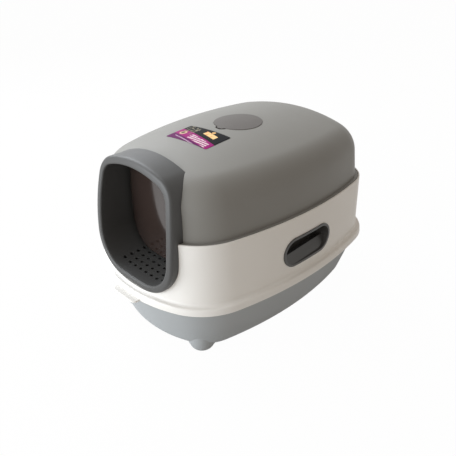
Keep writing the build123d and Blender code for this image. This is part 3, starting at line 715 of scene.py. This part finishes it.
def flap_sheet():
    """Loops that grow from the middle on the front, pass over the rounded edge, and draw in
    again on the back. Each is a share of the outline's size and a depth either side of the
    bow, which is a parabola across the width."""
    loop = flap_loop()
    middle = np.array([0.0, FLAP_MIDDLE])
    half = np.abs(loop[:, 0]).max()
    edge = FLAP_THICK / 2
    turns = np.linspace(0.3, math.pi - 0.3, 7)
    steps = [(share, -edge) for share in np.linspace(0.02, 0.96, 24)]
    steps += [(1 - EDGE_SHARE * (1 - math.sin(turn)), -edge * math.cos(turn)) for turn in turns]
    steps += [(share, edge) for share in np.linspace(0.96, 0.02, 24)]
    loops = []
    for share, side in steps:
        flat = middle + (loop - middle) * share
        y = FLAP_Y + FLAP_BOW * (2 * (flat[:, 0] / half) ** 2 - 1) + side
        loops.append(np.column_stack([flat[:, 0], y, flat[:, 1]]))
    return grid_shell(np.stack(loops))


def smoke_tint():
    """Tinted plastic: light passes into it and darkens, with a polished skin."""
    material, nodes, links, shader = blank_finish("smoke_tint")
    shader.inputs["Base Color"].default_value = (*FLAP_BROWN, 1.0)
    shader.inputs["IOR"].default_value = PLASTIC_IOR
    shader.inputs["Transmission Weight"].default_value = 0.25
    shader.inputs["Coat Weight"].default_value = 0.6
    shader.inputs["Coat Roughness"].default_value = 0.04
    place = nodes.new("ShaderNodeTexCoord")
    smear = layer(nodes, "TexNoise", {"Scale": 16.0, "Detail": 5.0})
    rough = layer(nodes, "MapRange", {"To Min": 0.06, "To Max": 0.2})
    wave = layer(nodes, "TexNoise", {"Scale": 9.0})
    ripple = layer(nodes, "Bump", {"Strength": 0.08, "Distance": 0.004})
    links.new(place.outputs["Object"], smear.inputs["Vector"])
    links.new(place.outputs["Object"], wave.inputs["Vector"])
    links.new(smear.outputs["Fac"], rough.inputs["Value"])
    links.new(rough.outputs["Result"], shader.inputs["Roughness"])
    links.new(wave.outputs["Fac"], ripple.inputs["Height"])
    links.new(ripple.outputs["Normal"], shader.inputs["Normal"])
    return material


barrel = prism(circle((FLAP_Y, HINGE_Z), BARREL_RADIUS, 40), -BARREL_HALF, BARREL_HALF, "x")
flap_shell = with_turned_faces(new_object("flap_sheet", joined(flap_sheet(), barrel)))
smooth(flap_shell)
dress(flap_shell, "flap", "smoke_plastic", smoke_tint(), "flap")

# ------------------------------------------------------------ hood
# The hood is a deep dome of warm grey plastic with a large soft edge. A flange rests on the
# ring's ledge, and a round seat in its crown holds the filter's basket and cover.
HOOD_WALL = 3.0
HOOD_INSET = 9.3
HOOD_LEAN = 6.8
HOOD_ROUND = 58.0
CROWN_Z = 378.8
CROWN_ALONG = 2050.0
CROWN_ACROSS = 521.0
CROWN_Y = 62.0
FLANGE_INSET = 3.8
FLANGE_THICK = 3.0
SPIGOT_INSET = 17.4
SPIGOT_WALL = 2.6
SPIGOT_LOW = HEM_LOW
SPIGOT_CLEAR = 5.0
RUNNING_GAP = 0.4
NOTCH_FROM = -320.0
COVER_Y = 25.2
RECESS_RADIUS = 48.4
SEAT_Z = 372.0
SEAT_THICK = 3.0
SEAT_WALL = 3.0
BASKET_HOLE = 40.8
SCOOP_RADIUS = 14.5
SCOOP_Y = -16.7
SCOOP_Z = 373.8
SCOOP_CLEAR = 10.0
HOOD_GREY = (0.208, 0.204, 0.189)


def crown_height(x, y, lift=0.0):
    """Crown: across the hood its section drops by x squared over twice the across radius, and
    that section is swung about an axis far below, which gives the long curve along Y."""
    section = CROWN_ALONG + lift - x**2 / (2 * (CROWN_ACROSS + lift))
    return CROWN_Z - CROWN_ALONG + np.sqrt(section**2 - (y - CROWN_Y) ** 2)


def crown_normal(x, y, lift=0.0):
    """Unit normal of the crown from its two slopes, taken over a millimetre."""
    slope_x = crown_height(x + 0.5, y, lift) - crown_height(x - 0.5, y, lift)
    slope_y = crown_height(x, y + 0.5, lift) - crown_height(x, y - 0.5, lift)
    normal = np.stack([-slope_x, -slope_y, np.ones_like(slope_x)], -1)
    return normal / np.linalg.norm(normal, axis=-1, keepdims=True)


def dome_rows(depth, hole):
    """The dome, depth inside its outer surface, from its foot up and in to a round hole.
    The edge is the path of a ball that touches wall and crown: its centre is a ball's radius
    inside both, found by sliding it down the wall until it also touches the crown, and the
    rounded band turns from the wall's normal to the crown's about that centre."""
    tilt = math.radians(HOOD_LEAN)
    ball = HOOD_ROUND - depth
    turn = plan[:, 3]
    level = np.column_stack([np.cos(turn), np.sin(turn)])
    wall_normal = np.column_stack([level * math.cos(tilt), np.full(len(turn), math.sin(tilt))])

    def wall_loop(z, inset=0.0):
        slope = HOOD_INSET + depth / math.cos(tilt) + (z - LEDGE_Z) * math.tan(tilt)
        return plan[:, :2] + level * (plan[:, 2] - slope - inset)[:, None]

    centre_z = np.full(len(turn), CROWN_Z - HOOD_ROUND)
    for _ in range(30):
        touch_z = centre_z + ball * math.sin(tilt)
        centre = wall_loop(touch_z, ball * math.cos(tilt))
        contact = centre.copy()
        for _ in range(4):
            normal = crown_normal(contact[:, 0], contact[:, 1], -depth)
            contact = centre + ball * normal[:, :2]
        height = crown_height(contact[:, 0], contact[:, 1], -depth)
        centre_z = height - ball * normal[:, 2]
    middle = np.column_stack([centre, centre_z])
    rows = []
    foot = LEDGE_Z + FLANGE_THICK
    for share in np.linspace(0, 1, 9)[:-1]:
        z = foot + (touch_z - foot) * share
        rows.append(np.column_stack([wall_loop(z), z]))
    sweep = np.arccos(np.clip((wall_normal * normal).sum(1), -1, 1))[:, None]
    for share in np.linspace(0, 1, 21):
        arm = wall_normal * np.sin((1 - share) * sweep) + normal * np.sin(share * sweep)
        rows.append(middle + ball * (arm / np.sin(sweep)))
    edge = rows[-1][:, :2]
    away = edge - [0, COVER_Y]
    goal = away / np.linalg.norm(away, axis=1, keepdims=True) * hole + [0, COVER_Y]
    for share in np.linspace(0, 1, 25)[1:]:
        flat = edge + (goal - edge) * share
        rows.append(np.column_stack([flat, crown_height(flat[:, 0], flat[:, 1], -depth)]))
    return rows


def round_loop(like, radius, z):
    """A loop at that radius about the cover's centre, its points in line with the loop given."""
    away = like[:, :2] - [0, COVER_Y]
    flat = away / np.linalg.norm(away, axis=1, keepdims=True) * radius + [0, COVER_Y]
    return np.column_stack([flat, np.full(len(flat), z)])


outer = dome_rows(0.0, RECESS_RADIUS)
inner = dome_rows(HOOD_WALL, RECESS_RADIUS + SEAT_WALL)
flange_top = LEDGE_Z + FLANGE_THICK
foot_profile = [
    (-SPIGOT_INSET - SPIGOT_WALL, flange_top),
    (-SPIGOT_INSET - SPIGOT_WALL, SPIGOT_LOW),
    (-SPIGOT_INSET, SPIGOT_LOW),
    (-SPIGOT_INSET, LEDGE_Z),
    (-FLANGE_INSET - 0.3, LEDGE_Z),
    (-FLANGE_INSET, LEDGE_Z + 0.3),
    (-FLANGE_INSET, flange_top - 0.8),
    (-FLANGE_INSET - 0.3, flange_top - 0.25),
    (-FLANGE_INSET - 0.9, flange_top),
]
hood_rows = (
    [round_loop(inner[-1], BASKET_HOLE, SEAT_Z - SEAT_THICK)]
    + [round_loop(inner[-1], RECESS_RADIUS + SEAT_WALL, SEAT_Z - SEAT_THICK)]
    + inner[::-1]
    + list(carried(plan, foot_profile))
    + outer
    + [round_loop(outer[-1], RECESS_RADIUS, SEAT_Z), round_loop(outer[-1], BASKET_HOLE, SEAT_Z)]
)
hood_shell = with_turned_faces(new_object("hood_shell", grid_shell(np.stack(hood_rows), wrap=True)))
notch_end = COLLAR_END + RUNNING_GAP
notch_half = grown_loop(collar_line, 0)[:, 0].max() + RUNNING_GAP
notch_foot = rectangle(notch_half, SPIGOT_LOW - SPIGOT_CLEAR, COLLAR_MID_Z)
carve(
    hood_shell,
    prism(grown_loop(collar_line, RUNNING_GAP)[:, ::-1], NOTCH_FROM, notch_end, "y"),
    prism(notch_foot[:, ::-1], NOTCH_FROM, notch_end, "y"),
    prism(circle((0, SCOOP_Y), SCOOP_RADIUS, 64), SCOOP_Z, CROWN_Z + SCOOP_CLEAR, "z"),
)
smooth(hood_shell)
hood_plastic = moulded_plastic("hood_plastic", HOOD_GREY, rough=0.50, grain=0.3, mottle=0.03)
dress(hood_shell, "hood", "hood_plastic", hood_plastic, "hood")

# ------------------------------------------------------------ filter basket, filter and cover
# A slotted cup drops into the hood's seat and holds a disc of carbon felt. A round cover with
# a finger tab closes it, level with the crown.
FELT_DARK = (0.006, 0.006, 0.006)
FELT_LIGHT = (0.054, 0.054, 0.054)
COVER_GREY = (0.072, 0.062, 0.055)


def carbon_felt():
    """Open black felt: tangled fibres from one twisted noise, deep and matt."""
    material, nodes, links, shader = blank_finish("carbon_felt")
    shader.inputs["Roughness"].default_value = 0.95
    shader.inputs["Sheen Weight"].default_value = 0.2
    place = nodes.new("ShaderNodeTexCoord")
    fibres = layer(nodes, "TexNoise", {"Scale": 700.0, "Detail": 6.0, "Distortion": 2.0})
    tone = nodes.new("ShaderNodeValToRGB")
    tone.color_ramp.elements[0].color = (*FELT_DARK, 1)
    tone.color_ramp.elements[1].color = (*FELT_LIGHT, 1)
    depth = layer(nodes, "Bump", {"Distance": 0.001})
    links.new(place.outputs["Object"], fibres.inputs["Vector"])
    links.new(fibres.outputs["Fac"], tone.inputs["Fac"])
    links.new(tone.outputs["Color"], shader.inputs["Base Color"])
    links.new(fibres.outputs["Fac"], depth.inputs["Height"])
    links.new(depth.outputs["Normal"], shader.inputs["Normal"])
    return material


finish_node("filter_basket", collar_plastic)
finish_node("carbon_filter", carbon_felt())
cover_plastic = moulded_plastic("cover_plastic", COVER_GREY, rough=0.42, grain=0.3)
finish_node("filter_cover", cover_plastic, bevel=0.5)

# ------------------------------------------------------------ sticker
# A printed film label pressed onto the crown in front of the filter's cover. Its print is
# plain shapes: a magenta field with a slanting edge, speckled bars, discs and specks on black.
STICKER_SIZE = (108.0, 64.0)
STICKER_AT = (-5.0, -77.5)
STICKER_THICK = 0.4
STICKER_LIFT = 0.2
STICKER_ROUND = 3.0
PRINT_SCALE = 1.1
PRINT_BLACK = (0.005, 0.005, 0.007)
PRINT_MAGENTA = (0.30, 0.010, 0.16)
PRINT_PURPLE = (0.11, 0.006, 0.09)
PRINT_SAND = (0.24, 0.22, 0.16)
PRINT_BISCUIT = (0.60, 0.45, 0.30)
PRINT_BROWN = (0.07, 0.05, 0.04)
PRINT_PINK = (0.75, 0.62, 0.66)
PRINT_ORANGE = (0.85, 0.36, 0.16)
PRINT_YELLOW = (0.85, 0.62, 0.30)
PRINT_AMBER = (0.80, 0.50, 0.22)
PRINT_LILAC = (0.45, 0.30, 0.42)


def sticker_rows():
    """Loops of a rounded rectangle laid on the crown: under side, edge and top. Each is a share
    of the outline's size and a height above the label's under side."""
    half_x, half_y = np.array(STICKER_SIZE) / 2
    signs = [(1, -1), (1, 1), (-1, 1), (-1, -1)]
    corners = [(right * half_x, far * half_y, STICKER_ROUND) for right, far in signs]
    outline = rounded_profile(corners, closed=True)
    ahead = np.roll(outline, -1, 0) - outline
    runs = [outline + ahead * share for share in np.linspace(0, 1, 30, endpoint=False)]
    dense = np.stack(runs, 1).reshape(-1, 2)
    rows = []
    steps = [(share, 0.0) for share in (0.02, 0.5, 0.995)]
    steps += [(1.0, 0.12), (1.0, 0.3), (0.997, STICKER_THICK)]
    steps += [(share, STICKER_THICK) for share in np.linspace(0.98, 0.02, 14)]
    for share, up in steps:
        flat = dense * share + np.array(STICKER_AT)
        rows.append(np.column_stack([flat, crown_height(flat[:, 0], flat[:, 1]) + STICKER_LIFT + up]))
    return np.stack(rows)


def printed_film():
    """Printed film with a silk shine. Its shapes are limits and distances in x and y from the
    label's middle, in metres times PRINT_SCALE. The slant is y plus a share of x, so it is the
    same all along a tilted line."""
    material, nodes, links, shader = blank_finish("printed_film")
    shader.inputs["Roughness"].default_value = 0.4
    shader.inputs["Specular IOR Level"].default_value = 0.05
    place = nodes.new("ShaderNodeTexCoord")
    shift = -MM * PRINT_SCALE
    middle = (STICKER_AT[0] * shift, STICKER_AT[1] * shift, 0)
    centre = layer(nodes, "Mapping", {"Location": middle, "Scale": (PRINT_SCALE,) * 3})
    links.new(place.outputs["Object"], centre.inputs["Vector"])
    axes = nodes.new("ShaderNodeSeparateXYZ")
    links.new(centre.outputs["Vector"], axes.inputs["Vector"])
    x, y = axes.outputs["X"], axes.outputs["Y"]

    def calc(kind, *values):
        node = layer(nodes, "Math", {}, operation=kind)
        for socket, value in zip(node.inputs, values):
            if isinstance(value, (int, float)):
                socket.default_value = value
            else:
                links.new(value, socket)
        return node.outputs["Value"]

    def both(one, other):
        return calc("MULTIPLY", one, other)

    def within(value, low, high):
        return both(calc("GREATER_THAN", value, low), calc("LESS_THAN", value, high))

    def disc(at_x, at_y, radius):
        away_x = calc("SUBTRACT", x, at_x)
        away_y = calc("SUBTRACT", y, at_y)
        far = calc("SQRT", calc("ADD", both(away_x, away_x), both(away_y, away_y)))
        return calc("LESS_THAN", far, radius)

    def painted(under, colour, mask):
        node = tint_layer(nodes, "MIX", {"B": (*colour, 1)})
        links.new(mask, node.inputs["Factor"])
        if isinstance(under, tuple):
            node.inputs["A"].default_value = (*under, 1)
        else:
            links.new(under, node.inputs["A"])
        return node.outputs["Result"]

    def speckled(scale, low):
        grains = layer(nodes, "TexVoronoi", {"Scale": scale})
        links.new(place.outputs["Object"], grains.inputs["Vector"])
        return calc("GREATER_THAN", grains.outputs["Distance"], low)

    slant = calc("ADD", y, calc("MULTIPLY", x, 0.22))
    film = painted(PRINT_BLACK, PRINT_MAGENTA, calc("LESS_THAN", slant, 0.001))
    film = painted(film, PRINT_PURPLE, calc("LESS_THAN", slant, -0.024))
    specks = both(speckled(210.0, 0.66), within(x, -0.052, -0.016))
    film = painted(film, PRINT_SAND, both(specks, within(slant, -0.014, 0.024)))
    film = painted(film, PRINT_BISCUIT, disc(-0.040, -0.004, 0.0085))
    film = painted(film, PRINT_BROWN, disc(-0.041, -0.003, 0.0045))
    line_share = calc("FRACT", calc("MULTIPLY", y, 150.0))
    bars = both(speckled(420.0, 0.30), within(line_share, 0.0, 0.6))
    field = both(within(x, -0.012, 0.050), within(slant, -0.022, -0.004))
    film = painted(film, PRINT_PINK, both(bars, field))
    block = both(within(x, 0.002, 0.040), within(slant, 0.013, 0.027))
    film = painted(film, PRINT_ORANGE, block)
    film = painted(film, PRINT_YELLOW, both(block, speckled(210.0, 0.42)))
    film = painted(film, PRINT_AMBER, disc(0.018, 0.028, 0.0042))
    low_bar = both(within(x, -0.045, 0.030), within(slant, -0.033, -0.030))
    film = painted(film, PRINT_LILAC, both(low_bar, speckled(500.0, 0.30)))
    links.new(film, shader.inputs["Base Color"])
    ripple_noise = layer(nodes, "TexNoise", {"Scale": 60.0})
    ripple = layer(nodes, "Bump", {"Strength": 0.06, "Distance": 0.001})
    links.new(place.outputs["Object"], ripple_noise.inputs["Vector"])
    links.new(ripple_noise.outputs["Fac"], ripple.inputs["Height"])
    links.new(ripple.outputs["Normal"], shader.inputs["Normal"])
    return material


label = with_turned_faces(new_object("label_film", grid_shell(sticker_rows())))
smooth(label)
dress(label, "hood", "label_film", printed_film(), "sticker")

# ------------------------------------------------------------ floor and light
# A pale sweep, a large soft lamp low at the front left, a second one high at the left, both a
# little cool as daylight is, and weak warm light from all round.
FLOOR_HALF = 30000.0
FLOOR_PAPER = (0.70, 0.69, 0.67)
FLOOR_GLOW = 0.98
WHITE = (1, 1, 1, 1)
DAYLIGHT = (0.93, 0.98, 1.03)
ROOM_LIGHT = 0.40
ROOM_WARMTH = (1.0, 0.87, 0.74)


def looking_rays(nodes, links):
    """1 for the rays that see the background white: from the camera, in gloss, through glass."""
    rays = nodes.new("ShaderNodeLightPath")
    seen = rays.outputs["Is Camera Ray"]
    for kind in ("Is Glossy Ray", "Is Transmission Ray"):
        either = layer(nodes, "Math", {}, operation="MAXIMUM")
        links.new(seen, either.inputs[0])
        links.new(rays.outputs[kind], either.inputs[1])
        seen = either.outputs["Value"]
    return seen


def pale_floor():
    """White to the rays that look at it, with a little of the true shading mixed in so that the
    shadow stays, and plain matt paper to the rays that carry light."""
    material, nodes, links, _ = blank_finish("pale_floor")
    nodes.clear()
    output = nodes.new("ShaderNodeOutputMaterial")
    matt = layer(nodes, "BsdfDiffuse", {"Color": (*FLOOR_PAPER, 1)})
    glow = layer(nodes, "Emission", {"Color": WHITE, "Strength": 1.0})
    share = layer(nodes, "Math", {1: FLOOR_GLOW}, operation="MULTIPLY")
    mix = nodes.new("ShaderNodeMixShader")
    links.new(looking_rays(nodes, links), share.inputs[0])
    links.new(share.outputs["Value"], mix.inputs["Fac"])
    links.new(matt.outputs["BSDF"], mix.inputs[1])
    links.new(glow.outputs["Emission"], mix.inputs[2])
    links.new(mix.outputs["Shader"], output.inputs["Surface"])
    return material


def soft_lamp(name, place, aim, size, power):
    """A square area lamp at place that shines towards aim, both in metres."""
    lamp_data = bpy.data.lights.new(name, "AREA")
    lamp_data.size = size
    lamp_data.energy = power
    lamp_data.color = DAYLIGHT
    lamp = bpy.data.objects.new(name, lamp_data)
    bpy.context.scene.collection.objects.link(lamp)
    place, aim = np.array(place, float), np.array(aim, float)
    lamp.location = place
    lamp.rotation_euler = Vector(aim - place).to_track_quat("-Z", "Y").to_euler()


def studio_world():
    """Weak warm light from all round, which looks white to the rays that look at it."""
    world = bpy.data.worlds.new("studio")
    world.use_nodes = True
    nodes, links = world.node_tree.nodes, world.node_tree.links
    backdrop = nodes["Background"]
    backdrop.inputs["Strength"].default_value = 1.0
    room = [ROOM_LIGHT * channel for channel in ROOM_WARMTH]
    glow = tint_layer(nodes, "MIX", {"A": (*room, 1), "B": WHITE})
    links.new(looking_rays(nodes, links), glow.inputs["Factor"])
    links.new(glow.outputs["Result"], backdrop.inputs["Color"])
    return world


floor_corners = np.column_stack([rectangle(FLOOR_HALF, -FLOOR_HALF, FLOOR_HALF), np.zeros(4)])
floor = new_object("floor", (floor_corners, [[0, 1, 2, 3]]))
floor.data.materials.append(pale_floor())
soft_lamp("window", place=(-0.85, -2.4, 0.9), aim=(0, 0, 0.2), size=2.0, power=73.0)
soft_lamp("ceiling", place=(-1.7, 0.1, 2.0), aim=(0, 0, 0.3), size=1.8, power=58.0)
bpy.context.scene.world = studio_world()

# ------------------------------------------------------------ camera
# Looks down on the entry and the right-hand grip from a little over a metre away.
EYE = (635.97, -654.09, 671.12)
AIM = (0.0, 5.5, 144.59)
ROLL = -0.55
FRAME_WIDTH = 456.0
FOCAL_SHARE = 484.92 / FRAME_WIDTH
SHIFT = (-4.03 / FRAME_WIDTH, 0.0)
SENSOR_WIDTH = 36.0


def aimed_camera():
    """A camera at EYE whose axis passes through AIM, rolled by ROLL degrees."""
    eye, aim = np.array(EYE), np.array(AIM)
    back = (eye - aim) / np.linalg.norm(eye - aim)
    right = np.cross([0, 0, 1], back)
    right /= np.linalg.norm(right)
    up = np.cross(back, right)
    roll = math.radians(ROLL)
    turned_right = right * math.cos(roll) + up * math.sin(roll)
    turned_up = up * math.cos(roll) - right * math.sin(roll)
    data = bpy.data.cameras.new("camera")
    data.sensor_width = SENSOR_WIDTH
    data.lens = SENSOR_WIDTH * FOCAL_SHARE
    data.shift_x, data.shift_y = SHIFT
    camera = bpy.data.objects.new("camera", data)
    bpy.context.scene.collection.objects.link(camera)
    matrix = np.identity(4)
    matrix[:3] = np.column_stack([turned_right, turned_up, back, eye * MM])
    camera.matrix_world = Matrix(matrix.tolist())
    return camera


bpy.context.scene.camera = aimed_camera()
bpy.context.scene.view_settings.view_transform = "Standard"
